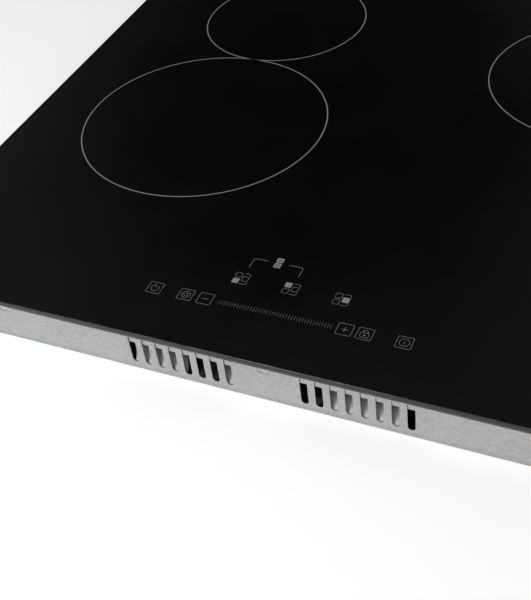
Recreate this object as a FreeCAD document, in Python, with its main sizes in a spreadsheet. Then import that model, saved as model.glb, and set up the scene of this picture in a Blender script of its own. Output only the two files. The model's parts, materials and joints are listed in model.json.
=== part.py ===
"""Built-in electric induction hob: a 590 x 520 mm glass top over a 550 x 480 mm steel casing.

Millimetres, +Z up, the front at -Y. The origin is the middle of the casing's underside, the lowest
plane of the hob. It has three zones (front left, rear left and right), two blowers that push air
over the heat sinks and out of the front slots, and four spring clips that hold it in the worktop.
"""
import FreeCAD, Part
import math
import os
import Sketcher

Vector = FreeCAD.Vector

SIZES = {
    # glass top, its seal and its adhesive
    "glass_width": 590, "glass_depth": 520, "glass_thickness": 5, "glass_bevel": 0.35, "glass_corner": 5,
    "glass_rounding": 1, "total_height": 57.5, "seal_inset": 3, "seal_width": 7, "seal_thickness": 2,
    "bead_width": 8, "bead_inset": 3, "bead_thickness": 1.2,
    # folded steel casing and the frame that carries the glass
    "casing_width": 550, "casing_depth": 480, "casing_height": 50.5, "casing_corner": 4,
    "steel": 0.8, "bend_radius": 1, "frame_gap": 0.1, "frame_low": 24.6, "frame_flange": 15,
    # ventilation slots
    "slot_pitch": 10.35, "slot_width": 5.3, "slot_start": 27.15, "slot_low": 6.5, "slot_high": 37.5,
    "slot_count": 8, "grille_pitch": 7, "grille_slot": 3.6, "grille_length": 56, "grille_count": 8,
    # domed screws in shallow coined seats in the front wall
    "seat_radius": 6.1, "seat_depth": 0.2, "front_screw_x": 205, "front_screw_height": 31.4,
    "dome_radius": 4.2, "dome_height": 1.6,
    # cooking zones
    "zone_x": 145, "front_zone_y": -22.5, "rear_zone_y": 150, "right_zone_y": 115,
    "front_left_radius": 92, "rear_left_radius": 66, "right_radius": 84,
    # coil stack, as heights above the casing's underside
    "plate_low": 37, "plate_sheet": 1.2, "plate_width": 256, "plate_front": -135, "plate_back": 228,
    "plate_x": 134, "ferrite_low": 41.5, "ferrite_thickness": 3.5, "ferrite_width": 12,
    "former_low": 45, "former_thickness": 2, "former_margin": 4, "former_rim": 3, "former_wall": 2,
    "winding_low": 47,
    "winding_thickness": 4.6, "mica_low": 51.6, "mica_thickness": 0.6, "coil_eye": 20,
    "coil_spring_wire": 1, "coil_spring_radius": 4, "spring_inset": 12, "lead_radius": 1.5,
    "ferrite_inset": 3, "sensor_bore": 9, "sensor_cap": 7, "lead_spread": 5, "lead_inset": 8,
    # electronics
    "tray_width": 224, "tray_depth": 250, "tray_height": 9, "tray_wall": 2, "tray_y": -20,
    "board_low": 6, "board_thickness": 1.6, "board_x": 135, "sink_x": 63.5, "sink_width": 76,
    "sink_length": 216, "sink_height": 26, "sink_base": 4, "fin_thickness": 1.5, "fin_count": 12,
    "post_inset": 10, "transistor_pitch": 40, "transistor_thickness": 5, "transistor_width": 16,
    "transistor_height": 20, "capacitor_x": 165, "capacitor_pitch": 26, "capacitor_length": 32,
    "capacitor_width": 18, "capacitor_height": 26, "capacitor_round": 1.5, "choke_x": 222,
    "choke_offset": 70, "choke_radius": 13, "choke_section": 6,
    # blowers
    "fan_y": 151, "fan_width": 86, "fan_height": 26, "fan_wall": 1.6, "fan_inlet": 27,
    "shaft_radius": 2, "running_gap": 0.05, "rotor_radius": 35, "blade_length": 8, "blade_count": 28,
    "rotor_low": 5, "rotor_height": 19, "rotor_disc": 1.4, "hub_radius": 7,
    # control panel behind the glass
    "panel_width": 236, "panel_depth": 74, "panel_y": -192, "panel_low": 44.4, "key_y": -215.7,
    "icon_y": -190, "touch_radius": 3, "touch_wire": 0.6, "holder_floor": 1.6, "holder_margin": 4,
    "lamp_width": 14, "lamp_depth": 9, "lamp_offset": 18, "harness_radius": 2, "harness_y": -160,
    "scoop_sheet": 1.2, "scoop_bend_z": 30,
    # worktop clips
    "clip_y": 130, "clip_width": 24, "clip_base_width": 44, "clip_sheet": 0.8, "clip_reach": 6.5,
    "clip_top": 45,
    # mains inlet
    "inlet_x": 200, "inlet_height": 12.5, "inlet_bore": 5, "bush_radius": 9, "bush_length": 15,
    "bush_flange": 3, "terminal_width": 60, "terminal_depth": 28, "terminal_height": 20,
    "terminal_y": 195, "terminal_pitch": 12, "terminal_well": 3, "hood_low": 14, "hood_height": 12,
    "supply_wire": 1.5,
    # rating plate on the rear wall
    "label_x": -200, "label_low": 6, "label_width": 70, "label_height": 24, "label_thickness": 0.3,
    # fasteners
    "screw_radius": 1.5, "screw_head": 3, "screw_head_height": 1.8, "screw_length": 6,
    "standoff_radius": 4, "screw_height": 38, "rear_screw_x": 180,
}

doc = FreeCAD.newDocument("InductionHob")
sheet = doc.addObject("Spreadsheet::Sheet", "Dims")


class Size:
    """A number together with the sheet expression that gives it."""

    def __init__(self, text, value):
        self.text = text
        self.value = float(value)

    def join(self, sign, other, value):
        return Size(f"({self.text} {sign} {other.text})", value)

    def __add__(self, other):
        other = sized(other)
        return self.join("+", other, self.value + other.value)

    def __sub__(self, other):
        other = sized(other)
        return self.join("-", other, self.value - other.value)

    def __mul__(self, other):
        other = sized(other)
        return self.join("*", other, self.value * other.value)

    def __truediv__(self, other):
        other = sized(other)
        return self.join("/", other, self.value / other.value)

    def __radd__(self, other):
        return sized(other) + self

    def __rsub__(self, other):
        return sized(other) - self

    def __rmul__(self, other):
        return sized(other) * self

    def __neg__(self):
        return sized(0) - self


def sized(thing):
    return thing if isinstance(thing, Size) else Size(str(thing), thing)


class Dimensions:
    """The sheet's rows as attributes, each a Size."""


d = Dimensions()
for row, (alias, value) in enumerate(SIZES.items(), start=1):
    sheet.set(f"A{row}", alias)
    sheet.set(f"B{row}", str(value))
    sheet.setAlias(f"B{row}", alias)
    setattr(d, alias, Size("Dims." + alias, value))
doc.recompute()

nodes = []


def bind(item, **formulas):
    """Drive an object's properties, x, y and z being its place, from the sheet."""
    for name, formula in formulas.items():
        target = "Placement.Base." + name if name in ("x", "y", "z") else name
        item.setExpression(target, sized(formula).text)
    return item


def node(item, name):
    """Keep an object as a finished sub-part with this name."""
    item.Label = name
    nodes.append(item)
    return item


# ---- plain primitives and booleans ----

def block(name, length, width, height, x, y, z):
    """A box centred on x and y that stands on z."""
    item = doc.addObject("Part::Box", name)
    return bind(item, Length=length, Width=width, Height=height, x=x - sized(length) / 2,
                y=y - sized(width) / 2, z=z)


def rod(name, radius, height, x, y, z, turn=None):
    """A cylinder that starts at a point, along +Z or turned about an axis by an angle."""
    item = doc.addObject("Part::Cylinder", name)
    if turn:
        item.Placement.Rotation = FreeCAD.Rotation(*turn)
    return bind(item, Radius=radius, Height=height, x=x, y=y, z=z)


def combine(kind, name, items):
    """A Part::Cut of the second item from the first, or a MultiFuse or Compound of them all."""
    item = doc.addObject("Part::" + kind, name)
    if kind == "Cut":
        item.Base, item.Tool = items
    elif kind == "MultiFuse":
        item.Shapes = items
    else:
        item.Links = items
    return item


def group(name, items):
    """One node that holds several separate solids."""
    return node(combine("Compound", name, items), name)


def coil_spring(name, radius, wire, height, x, y, z):
    """A compression spring as a sleeve of its own coil and wire diameters."""
    outer = rod(name + "_outer", radius + wire / 2, height, x, y, z)
    inner = rod(name + "_inner", radius - wire / 2, height, x, y, z)
    return combine("Cut", name, [outer, inner])


def tangent_route(points):
    """Straight runs joined by tangent arcs, each arc as large as its two runs allow."""
    edges, start = [], points[0]
    for before, corner, after in zip(points, points[1:], points[2:]):
        back, ahead = before - corner, after - corner
        turn = math.pi - back.getAngle(ahead)
        reach = 0.45 * min(back.Length, ahead.Length)
        radius = reach / math.tan(turn / 2)
        back.normalize()
        ahead.normalize()
        middle = back + ahead
        middle.normalize()
        bulge = radius / math.cos(turn / 2) - radius
        first, last = corner + back * reach, corner + ahead * reach
        edges.append(Part.LineSegment(start, first).toShape())
        edges.append(Part.Arc(first, corner + middle * bulge, last).toShape())
        print("bend radius", round(radius, 1))
        start = last
    edges.append(Part.LineSegment(start, points[-1]).toShape())
    return Part.Wire(edges)


def wire_run(name, points, radius):
    """A round wire along a route, given as points of three sizes each."""
    route = tangent_route([Vector(*(sized(value).value for value in point)) for point in points])
    start, along = route.Edges[0].Vertexes[0].Point, route.Edges[0].tangentAt(0)
    section = Part.Wire(Part.makeCircle(radius.value, start, along))
    item = doc.addObject("Part::Feature", name)
    item.Shape = route.makePipeShell([section], True, True)
    if abs(item.Shape.Volume / (math.pi * radius.value ** 2 * route.Length) - 1) > 0.01:
        raise RuntimeError(name + ": the wire's volume isn't its section times its length")
    return item


# ---- sketches and PartDesign features ----

def new_body(name):
    return node(doc.addObject("PartDesign::Body", name), name)


def rounded_block(name, width, depth, low, height, corner, bend):
    """A body with rounded upright edges and a bend all round its underside."""
    body = doc.addObject("PartDesign::Body", name)
    sketch = new_sketch(body, lift=low)
    rectangle(sketch, width, depth)
    pad(body, sketch, height)
    dress(body, "Fillet", is_upright, Radius=corner)
    dress(body, "Fillet", at_height(sized(low)), Radius=bend)
    return body


def origin_part(body, role):
    return next(f for f in body.Origin.OriginFeatures if f.Role == role)


def new_sketch(body, plane="XY", lift=0):
    """An empty sketch on one of the body's own origin planes, lifted along its normal."""
    sketch = body.newObject("Sketcher::SketchObject", body.Name + "_sketch")
    sketch.AttachmentSupport = [(origin_part(body, plane + "_Plane"), "")]
    sketch.MapMode = "FlatFace"
    sketch.setExpression("AttachmentOffset.Base.z", sized(lift).text)
    return sketch


def fix(sketch, kind, *where, formula):
    """Add a sketch dimension that follows a formula."""
    value = sized(formula)
    index = sketch.addConstraint(Sketcher.Constraint(kind, *where, value.value))
    sketch.setExpression(f"Constraints[{index}]", value.text)


def outline(sketch, points):
    """A closed polygon through points, each a pair of sizes."""
    first = sketch.GeometryCount
    count = len(points)
    spots = [Vector(sized(a).value, sized(b).value, 0) for a, b in points]
    for i in range(count):
        sketch.addGeometry(Part.LineSegment(spots[i], spots[(i + 1) % count]))
    for i in range(count):
        sketch.addConstraint(Sketcher.Constraint("Coincident", first + i, 2, first + (i + 1) % count, 1))
    for i, (a, b) in enumerate(points):
        fix(sketch, "DistanceX", -1, 1, first + i, 1, formula=a)
        fix(sketch, "DistanceY", -1, 1, first + i, 1, formula=b)


def rectangle(sketch, width, depth, x=0, y=0):
    x, y, width, depth = (sized(value) for value in (x, y, width, depth))
    left, right, low, high = x - width / 2, x + width / 2, y - depth / 2, y + depth / 2
    outline(sketch, [(left, low), (right, low), (right, high), (left, high)])


def circle(sketch, radius, x=0, y=0):
    x, y, radius = (sized(value) for value in (x, y, radius))
    ring = Part.Circle(Vector(x.value, y.value, 0), Vector(0, 0, 1), radius.value)
    index = sketch.addGeometry(ring)
    fix(sketch, "Radius", index, formula=radius)
    fix(sketch, "DistanceX", -1, 1, index, 3, formula=x)
    fix(sketch, "DistanceY", -1, 1, index, 3, formula=y)


def long_hole(sketch, x, low, high, width):
    """An upright slot with round ends between two heights."""
    r = width / 2
    bottom, top = low + r, high - r
    up = Vector(0, 0, 1)
    ends = Vector(x.value, bottom.value, 0), Vector(x.value, top.value, 0)
    side = Vector(r.value, 0, 0)
    sketch.addGeometry([
        Part.ArcOfCircle(Part.Circle(ends[0], up, r.value), math.pi, 2 * math.pi),
        Part.LineSegment(ends[0] + side, ends[1] + side),
        Part.ArcOfCircle(Part.Circle(ends[1], up, r.value), 0, math.pi),
        Part.LineSegment(ends[1] - side, ends[0] - side),
    ])
    for i in range(4):
        sketch.addConstraint(Sketcher.Constraint("Tangent", i, 2, (i + 1) % 4, 1))
    fix(sketch, "Radius", 0, formula=r)
    for arc, height in ((0, bottom), (2, top)):
        fix(sketch, "DistanceX", -1, 1, arc, 3, formula=x)
        fix(sketch, "DistanceY", -1, 1, arc, 3, formula=height)


def feature(body, kind, sketch, **formulas):
    """A PartDesign feature made from a sketch, its sizes bound to formulas."""
    item = body.newObject("PartDesign::" + kind, body.Name + "_" + kind.lower())
    item.Profile = sketch
    return bind(item, **formulas)


def pad(body, sketch, length, reverse=False):
    item = feature(body, "Pad", sketch, Length=length)
    item.Reversed = reverse
    return item


def pocket(body, sketch, length, reverse=False):
    """Cut a sketch against its normal or, reversed, along it; it must take material away."""
    doc.recompute()
    before = body.Shape.Volume
    item = feature(body, "Pocket", sketch, Length=length)
    item.Reversed = reverse
    doc.recompute()
    if body.Shape.Volume > before - 0.01:
        raise RuntimeError(body.Label + ": a pocket cuts nothing")
    return item


def turned(body, points):
    """A solid of revolution about Z of an outline of radius and height pairs."""
    sketch = new_sketch(body, "XZ")
    outline(sketch, points)
    item = feature(body, "Revolution", sketch)
    item.ReferenceAxis = (sketch, ["V_Axis"])
    item.Angle = 360
    doc.recompute()
    return item


def repeat(body, item, pitch, count):
    """A row of a feature along its own sketch's X."""
    row = body.newObject("PartDesign::LinearPattern", body.Name + "_row")
    row.Originals = [item]
    row.Direction = (item.Profile[0], ["H_Axis"])
    bind(row, Length=pitch * (count - 1), Occurrences=count)
    body.Tip = row
    doc.recompute()


def repeat_round(body, item, count):
    """Copies of a feature about the body's Z axis."""
    row = body.newObject("PartDesign::PolarPattern", body.Name + "_ring")
    row.Originals = [item]
    row.Axis = (origin_part(body, "Z_Axis"), [""])
    row.Angle = 360
    bind(row, Occurrences=count)
    body.Tip = row
    doc.recompute()


def is_upright(edge):
    box = edge.BoundBox
    return box.XLength < 1e-6 and box.YLength < 1e-6


def at_height(height):
    """A test for the edges that lie wholly at one height."""
    def lies_there(edge):
        box = edge.BoundBox
        return abs(box.ZMin - height.value) < 1e-6 and abs(box.ZMax - height.value) < 1e-6
    return lies_there


def dress(body, kind, test, **amount):
    """A Fillet or Chamfer on the edges of the body's present tip that pass a test."""
    doc.recompute()
    base = body.Tip
    item = body.newObject("PartDesign::" + kind, body.Name + "_" + kind.lower())
    edges = [f"Edge{i}" for i, edge in enumerate(base.Shape.Edges, start=1) if test(edge)]
    item.Base = (base, edges)
    bind(item, **amount)
    doc.recompute()


def ring_plate(name, width, depth, rim, corner, low, thickness):
    """A flat rectangular ring with rounded outer corners."""
    body = new_body(name)
    sketch = new_sketch(body, lift=low)
    rectangle(sketch, width, depth)
    pad(body, sketch, thickness)
    dress(body, "Fillet", is_upright, Radius=corner)
    opening = new_sketch(body, lift=low)
    rectangle(opening, width - 2 * rim, depth - 2 * rim)
    pocket(body, opening, thickness, reverse=True)
    return body


# ---- glass top, seal, adhesive and carrying frame ----

glass_low = d.total_height - d.glass_thickness
frame_width = d.casing_width - 2 * (d.steel + d.frame_gap)
frame_depth = d.casing_depth - 2 * (d.steel + d.frame_gap)
frame_top = glass_low - d.bead_thickness
SIDES = (("left", -1), ("right", 1))
ZONES = (
    ("front_left", -1, d.front_zone_y, d.front_left_radius),
    ("rear_left", -1, d.rear_zone_y, d.rear_left_radius),
    ("right", 1, d.right_zone_y, d.right_radius),
)


def make_glass():
    body = new_body("glass_plate")
    sketch = new_sketch(body, lift=glass_low)
    rectangle(sketch, d.glass_width, d.glass_depth)
    pad(body, sketch, d.glass_thickness)
    dress(body, "Fillet", is_upright, Radius=d.glass_corner)
    dress(body, "Chamfer", at_height(d.total_height), Size=d.glass_bevel)
    dress(body, "Fillet", at_height(glass_low), Radius=d.glass_rounding)


def make_frame():
    """A sheet frame: a skirt inside the casing and a flange under the glass."""
    body = new_body("top_frame")
    sketch = new_sketch(body, lift=d.frame_low)
    rectangle(sketch, frame_width, frame_depth)
    pad(body, sketch, frame_top - d.frame_low)
    dress(body, "Fillet", is_upright, Radius=d.casing_corner)
    skirt = new_sketch(body, lift=d.frame_low)
    rectangle(skirt, frame_width - 2 * d.steel, frame_depth - 2 * d.steel)
    pocket(body, skirt, frame_top - d.steel - d.frame_low, reverse=True)
    window = new_sketch(body, lift=frame_top)
    rectangle(window, frame_width - 2 * d.frame_flange, frame_depth - 2 * d.frame_flange)
    pocket(body, window, 2 * d.steel)
    drill_walls(body)


def drill_walls(body):
    """Holes for the screws that hold the clips and the casing to the frame."""
    sides = new_sketch(body, "YZ", lift=d.casing_width / 2)
    for y in SIDE_SCREWS:
        circle(sides, d.screw_radius, x=y, y=d.screw_height)
    pocket(body, sides, d.casing_width)
    rear = new_sketch(body, "XZ", lift=-d.casing_depth / 2)
    for x in REAR_SCREWS:
        circle(rear, d.screw_radius, x=x, y=d.screw_height)
    pocket(body, rear, d.frame_flange, reverse=True)
    front = new_sketch(body, "XZ", lift=d.casing_depth / 2)
    for x in FRONT_SCREWS:
        circle(front, d.screw_radius, x=x, y=d.front_screw_height)
    pocket(body, front, d.frame_flange)


clip_screw_offset = d.clip_base_width / 2 - 5
SIDE_SCREWS = [y * d.clip_y + offset * clip_screw_offset for y in (-1, 1) for offset in (-1, 1)]
REAR_SCREWS = [-d.rear_screw_x, sized(0), d.rear_screw_x]
FRONT_SCREWS = [-d.front_screw_x, sized(0), d.front_screw_x]
make_glass()
ring_plate("seal_tape", d.glass_width - 2 * d.seal_inset, d.glass_depth - 2 * d.seal_inset,
           d.seal_width, d.glass_corner, glass_low - d.seal_thickness, d.seal_thickness)
ring_plate("adhesive_bead", frame_width - 2 * d.bead_inset, frame_depth - 2 * d.bead_inset,
           d.bead_width, d.casing_corner, frame_top, d.bead_thickness)
make_frame()


# ---- casing ----

def make_casing():
    """A deep tray of folded sheet with slots in the front and rear walls and grilles below."""
    body = rounded_block("casing_blank", d.casing_width, d.casing_depth, 0, d.casing_height,
                         d.casing_corner, d.bend_radius)
    room = rounded_block("casing_room", d.casing_width - 2 * d.steel, d.casing_depth - 2 * d.steel,
                         d.steel, d.casing_height, d.casing_corner - d.steel, d.bend_radius - d.steel)
    for wall in (-1, 1):
        for side in (-1, 1):
            start = side * d.slot_start if side > 0 else -d.slot_start - d.slot_pitch * (d.slot_count - 1)
            slot = new_sketch(body, "XZ", lift=-wall * d.casing_depth / 2)
            long_hole(slot, start, d.slot_low, d.slot_high, d.slot_width)
            cut = pocket(body, slot, 2 * d.steel, reverse=wall > 0)
            repeat(body, cut, d.slot_pitch, d.slot_count)
    for side in (-1, 1):
        grille = new_sketch(body)
        first = side * d.sink_x - d.grille_pitch * (d.grille_count - 1) / 2
        rectangle(grille, d.grille_slot, d.grille_length, x=first, y=d.fan_y)
        cut = pocket(body, grille, 2 * d.steel, reverse=True)
        repeat(body, cut, d.grille_pitch, d.grille_count)
    inlet = new_sketch(body, "XZ", lift=-d.casing_depth / 2)
    circle(inlet, d.bush_radius, x=d.inlet_x, y=d.inlet_height)
    pocket(body, inlet, 2 * d.steel, reverse=True)
    drill_walls(body)
    seats = new_sketch(body, "XZ", lift=d.casing_depth / 2)
    for x in FRONT_SCREWS:
        circle(seats, d.seat_radius, x=x, y=d.front_screw_height)
    pocket(body, seats, d.seat_depth)
    node(combine("Cut", "casing", [body, room]), "casing")


make_casing()


# ---- coil stacks ----

def make_winding(name, x, y, radius):
    """The flat litz coil: an annulus whose top is ribbed by its turns."""
    body = new_body("winding_" + name)
    sketch = new_sketch(body, lift=d.winding_low)
    circle(sketch, radius)
    circle(sketch, d.coil_eye)
    pad(body, sketch, d.winding_thickness)
    bind(body, x=x, y=y)


def make_former(name, x, y, radius):
    """A moulded carrier with an eye for the sensor, spring seats and holes for the leads."""
    body = new_body("coil_former_" + name)
    outer = radius + d.former_margin
    sketch = new_sketch(body, lift=d.former_low)
    circle(sketch, outer)
    circle(sketch, d.sensor_bore)
    pad(body, sketch, d.former_thickness)
    rim = new_sketch(body, lift=d.former_low)
    circle(rim, outer)
    circle(rim, outer - d.former_rim)
    pad(body, rim, d.former_thickness + d.former_rim)
    eye = new_sketch(body, lift=d.former_low)
    circle(eye, d.coil_eye - 0.5)
    circle(eye, d.coil_eye - 0.5 - d.former_wall)
    pad(body, eye, d.former_thickness + d.former_rim)
    bind(body, x=x, y=y)


def make_ferrites(name, x, y, radius):
    """Eight ferrite bars like spokes under the former."""
    length = radius - d.coil_eye - d.ferrite_inset - 1
    bars = []
    for k in range(FERRITE_COUNT):
        bar = doc.addObject("Part::Box", f"ferrite_{name}_{k}")
        degrees = 360 / FERRITE_COUNT * (k + 0.5)
        bar.Placement.Rotation = FreeCAD.Rotation(Vector(0, 0, 1), degrees)
        across, along = math.sin(math.radians(degrees)), math.cos(math.radians(degrees))
        inner = d.coil_eye + d.ferrite_inset
        bind(bar, Length=length, Width=d.ferrite_width, Height=d.ferrite_thickness,
             x=x + inner * along + d.ferrite_width / 2 * across,
             y=y + inner * across - d.ferrite_width / 2 * along, z=d.ferrite_low)
        bars.append(bar)
    group("ferrites_" + name, bars)


def make_mica(name, x, y, radius):
    """The insulating disc that lies on the winding under the glass."""
    body = new_body("mica_disc_" + name)
    sketch = new_sketch(body, lift=d.mica_low)
    circle(sketch, radius + d.former_margin - 1)
    circle(sketch, d.sensor_bore)
    pad(body, sketch, d.mica_thickness)
    bind(body, x=x, y=y)


def make_sensor(name, x, y):
    """The temperature sensor's cap in the middle of the coil."""
    body = new_body("heat_sensor_" + name)
    top = glass_low - 0.3
    foot = d.former_low + d.former_thickness
    outline_points = [(0, d.former_low), (d.sensor_bore - 0.2, d.former_low), (d.sensor_bore - 0.2, foot),
                      (d.sensor_cap, foot), (d.sensor_cap, top - 1), (d.sensor_cap - 1, top), (0, top)]
    turned(body, outline_points)
    bind(body, x=x, y=y)


def around(x, y, radius, angle):
    return x + radius * math.cos(math.radians(angle)), y + radius * math.sin(math.radians(angle))


def make_coil_springs(name, x, y, radius):
    """Three springs that press the coil up against the glass, between the ferrite bars."""
    plate_top = d.plate_low + d.plate_sheet
    springs = []
    for angle in SPRING_ANGLES:
        sx, sy = around(x, y, radius - d.spring_inset, angle)
        springs.append(coil_spring(f"coil_spring_{name}_{angle}", d.coil_spring_radius, d.coil_spring_wire,
                                   d.former_low - plate_top, sx, sy, plate_top))
    group("coil_springs_" + name, springs)


def make_leads(name, x, y, radius):
    """The coil's two leads, straight down through the plate to the power board."""
    leads = [rod(f"lead_{name}_{k}", d.lead_radius, d.former_low - board_top,
                 *lead_place(x, y, radius, side), board_top) for k, side in enumerate((-1, 1))]
    group("coil_leads_" + name, leads)


def lead_place(x, y, radius, side):
    """Where one lead passes through the plate, at the front of the coil."""
    return x + side * d.lead_spread, y - radius + d.lead_inset


FERRITE_COUNT = 8
SPRING_ANGLES = (90, 225, 315)
board_top = d.board_low + d.board_thickness
for zone, side, zone_y, zone_radius in ZONES:
    zone_x = side * d.zone_x
    make_winding(zone, zone_x, zone_y, zone_radius)
    make_former(zone, zone_x, zone_y, zone_radius)
    make_ferrites(zone, zone_x, zone_y, zone_radius)
    make_mica(zone, zone_x, zone_y, zone_radius)
    make_sensor(zone, zone_x, zone_y)
    make_coil_springs(zone, zone_x, zone_y, zone_radius)
    make_leads(zone, zone_x, zone_y, zone_radius)


# ---- coil plates and their standoffs ----

plate_depth = d.plate_back - d.plate_front
plate_y = (d.plate_back + d.plate_front) / 2
standoff_inset = 2 * d.standoff_radius
standoff_x = d.plate_width / 2 - standoff_inset
standoff_y = plate_depth / 2 - standoff_inset


def make_plate(name, side):
    """An aluminium sheet with a hole for each screw, lead and sensor wire."""
    body = new_body("coil_plate_" + name)
    sketch = new_sketch(body, lift=d.plate_low)
    rectangle(sketch, d.plate_width, plate_depth, x=side * d.plate_x, y=plate_y)
    for x in (-1, 1):
        for y in (-1, 1):
            circle(sketch, d.screw_radius + 0.2, x=side * d.plate_x + x * standoff_x,
                   y=plate_y + y * standoff_y)
    for _, zone_side, y, radius in ZONES:
        if zone_side == side:
            circle(sketch, d.sensor_bore, x=side * d.zone_x, y=y)
            for lead in (-1, 1):
                lead_x, lead_y = lead_place(side * d.zone_x, y, radius, lead)
                circle(sketch, d.lead_radius + 1, x=lead_x, y=lead_y)
    pad(body, sketch, d.plate_sheet)


def make_standoffs():
    """Eight posts from the casing's floor to the coil plates, each with a screw in its top."""
    posts, screws = [], []
    for name, side in SIDES:
        make_plate(name, side)
        for x in (-1, 1):
            for y in (-1, 1):
                tag = f"{name}_{x}_{y}".replace("-", "m")
                place = side * d.plate_x + x * standoff_x, plate_y + y * standoff_y
                post = rod("post_" + tag, d.standoff_radius, d.plate_low - d.steel, *place, d.steel)
                bore = rod("post_bore_" + tag, d.screw_radius, d.screw_length + 1, *place,
                           d.plate_low - d.screw_length - 1)
                posts.append(combine("Cut", "standoff_" + tag, [post, bore]))
                screws.append(screw("plate_screw_" + tag, *place, d.plate_low + d.plate_sheet))
    group("plate_standoffs", posts)
    return screws


def screw(name, x, y, seat, turn=None, away=(0, 0, 1)):
    """A pan-head screw whose head sits on a seat and whose shank goes the other way from `away`."""
    head = rod(name + "_head", d.screw_head, d.screw_head_height, x, y, seat, turn)
    back = [sized(value) - d.screw_length * part for value, part in zip((x, y, seat), away)]
    shank = rod(name + "_shank", d.screw_radius - 0.05, d.screw_length, *back, turn)
    return combine("MultiFuse", name, [head, shank])


def domed_screw(name, x, seat, z):
    """A screw in the front wall: a domed head, as a cap of a sphere, and a shank into the casing."""
    bend = (d.dome_radius * d.dome_radius + d.dome_height * d.dome_height) / (2 * d.dome_height)
    rise = 1 - d.dome_height / bend
    head = doc.addObject("Part::Sphere", name + "_head")
    head.Placement.Rotation = FreeCAD.Rotation(*FORWARDS)
    start = Size(f"asin({rise.text})", math.degrees(math.asin(rise.value)))
    bind(head, Radius=bend, Angle1=start, x=x, y=seat + bend - d.dome_height, z=z)
    shank = rod(name + "_shank", d.screw_radius - 0.05, d.screw_length, x, seat + d.screw_length, z, FORWARDS)
    return combine("MultiFuse", name, [head, shank])


inner_screws = make_standoffs()


# ---- power boards, heat sinks and the parts on them ----

def make_tray(name, side):
    """A plastic tray on the casing's floor with four posts for the board."""
    body = new_body("board_tray_" + name)
    x = side * d.board_x
    sketch = new_sketch(body, lift=d.steel)
    rectangle(sketch, d.tray_width, d.tray_depth, x=x, y=d.tray_y)
    pad(body, sketch, d.tray_height)
    inside = new_sketch(body, lift=d.steel + d.tray_wall)
    rectangle(inside, d.tray_width - 2 * d.tray_wall, d.tray_depth - 2 * d.tray_wall, x=x, y=d.tray_y)
    pocket(body, inside, d.tray_height, reverse=True)
    posts = new_sketch(body, lift=d.steel)
    for spot in board_posts(side):
        circle(posts, d.standoff_radius, *spot)
    pad(body, posts, d.board_low - d.steel)
    bores = new_sketch(body, lift=d.board_low - d.screw_length + 1)
    for spot in board_posts(side):
        circle(bores, d.screw_radius, *spot)
    pocket(body, bores, d.screw_length, reverse=True)


def board_posts(side):
    x_reach = d.tray_width / 2 - d.post_inset
    y_reach = d.tray_depth / 2 - d.post_inset
    return [(side * d.board_x + x * x_reach, d.tray_y + y * y_reach) for x in (-1, 1) for y in (-1, 1)]


def make_board(name, side):
    body = new_body("power_board_" + name)
    sketch = new_sketch(body, lift=d.board_low)
    rectangle(sketch, d.tray_width - 2 * d.tray_wall - 1, d.tray_depth - 2 * d.tray_wall - 1,
              x=side * d.board_x, y=d.tray_y)
    for spot in board_posts(side):
        circle(sketch, d.screw_radius + 0.2, *spot)
    pad(body, sketch, d.board_thickness)


def make_heat_sink(name, side):
    """An extruded aluminium comb whose fins run along the air stream."""
    body = new_body("heat_sink_" + name)
    sketch = new_sketch(body, lift=board_top)
    rectangle(sketch, d.sink_width, d.sink_length, x=side * d.sink_x, y=d.tray_y)
    pad(body, sketch, d.sink_base)
    fin = new_sketch(body, lift=board_top)
    first = side * d.sink_x - (d.sink_width - d.fin_thickness) / 2
    rectangle(fin, d.fin_thickness, d.sink_length, x=first, y=d.tray_y)
    blade = pad(body, fin, d.sink_height)
    repeat(body, blade, (d.sink_width - d.fin_thickness) / (d.fin_count - 1), d.fin_count)


def make_transistors():
    """Flat power transistors that stand against the outer side of each heat sink."""
    packages = []
    for name, side in SIDES:
        for k in range(4):
            y = d.tray_y + (k - 1.5) * d.transistor_pitch
            x = side * (d.sink_x + d.sink_width / 2 + d.transistor_thickness / 2)
            packages.append(block(f"transistor_{name}_{k}", d.transistor_thickness, d.transistor_width,
                                  d.transistor_height, x, y, board_top))
    group("power_transistors", packages)


def make_capacitors():
    """Boxed film capacitors in a row on each power board."""
    boxes = []
    for name, side in SIDES:
        for k in range(4):
            y = d.tray_y + (k - 1.5) * d.capacitor_pitch
            box = block(f"capacitor_box_{name}_{k}", d.capacitor_length, d.capacitor_width,
                        d.capacitor_height, side * d.capacitor_x, y, board_top)
            rounded = doc.addObject("Part::Fillet", f"capacitor_{name}_{k}")
            rounded.Base = box
            doc.recompute()
            r = d.capacitor_round.value
            rounded.Edges = [(i, r, r) for i, edge in enumerate(box.Shape.Edges, start=1)
                             if is_upright(edge)]
            boxes.append(rounded)
    group("film_capacitors", boxes)


def make_chokes():
    """Ring-core chokes lying on each power board."""
    rings = []
    for name, side in SIDES:
        for k in (-1, 1):
            ring = doc.addObject("Part::Torus", f"choke_{name}_{k}".replace("-", "m"))
            bind(ring, Radius1=d.choke_radius, Radius2=d.choke_section, x=side * d.choke_x,
                 y=d.tray_y + k * d.choke_offset, z=board_top + d.choke_section)
            rings.append(ring)
    group("filter_chokes", rings)


for label, hand in SIDES:
    make_tray(label, hand)
    make_board(label, hand)
    make_heat_sink(label, hand)
    for post_x, post_y in board_posts(hand):
        inner_screws.append(screw(f"board_screw_{len(inner_screws)}", post_x, post_y, board_top))
make_transistors()
make_capacitors()
make_chokes()


# ---- blowers ----

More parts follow.
